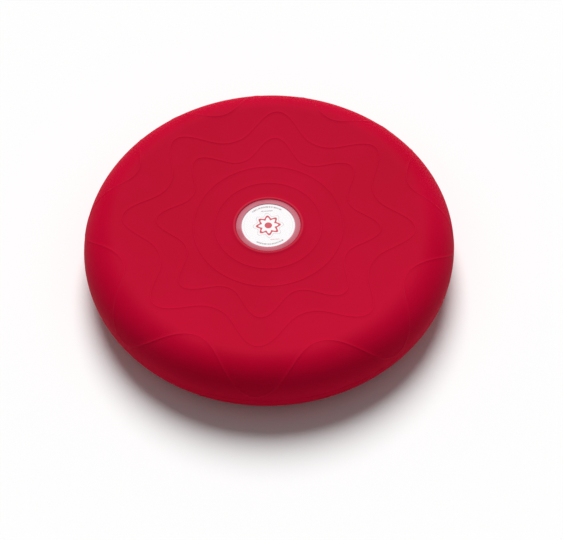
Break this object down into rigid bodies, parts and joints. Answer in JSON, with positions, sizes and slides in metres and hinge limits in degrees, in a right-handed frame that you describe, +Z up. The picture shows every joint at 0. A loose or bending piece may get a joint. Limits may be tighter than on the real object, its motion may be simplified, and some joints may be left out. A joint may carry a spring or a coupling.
{
  "type": "wobble cushion",
  "caption": "Round air-filled wobble cushion: slightly dished seat face with raised waves, full round rim, round label in the middle and a plugged valve in the rim.",
  "frame": {"origin": "centre of the flat face that rests on the floor", "axes": "+Z up, through the middle of the disc; +Y towards the valve at the back; +X to the right seen from the front"},
  "size_m": [0.36, 0.36, 0.064],
  "materials": {
    "skin": "soft satin moulded PVC",
    "label_print": "smooth matt print",
    "clear_film": "clear film, slightly frosted",
    "valve_plastic": "soft moulded PVC",
    "valve_rubber": "matt rubber",
    "plug_plastic": "satin moulded plastic"
  },
  "bodies": {
    "base": {"lower_skin": "skin"},
    "ring": {"seam_ring": "skin", "valve_body": "valve_plastic", "valve_backing": "valve_plastic", "valve_core": "valve_rubber"},
    "top": {"upper_skin": "skin", "label_disc": "label_print", "label_cover": "clear_film"},
    "plug": {"valve_plug": "plug_plastic"}
  },
  "joints": [
    {"name": "tilt_sideways", "type": "hinge", "parent": "base", "child": "ring", "pos_m": [0, 0, 0.032], "axis": [0, 1, 0], "range_deg": [-6, 6], "stiffness_Nm_per_rad": 80, "deforming": ["lower_skin"]},
    {"name": "tilt_forward_back", "type": "hinge", "parent": "ring", "child": "top", "pos_m": [0, 0, 0.032], "axis": [1, 0, 0], "range_deg": [-6, 6], "stiffness_Nm_per_rad": 80, "deforming": ["upper_skin"]},
    {"name": "plug_pull", "type": "slide", "parent": "ring", "child": "plug", "axis": [0, 0.8577, -0.5142], "range_m": [0, 0.012]}
  ]
}
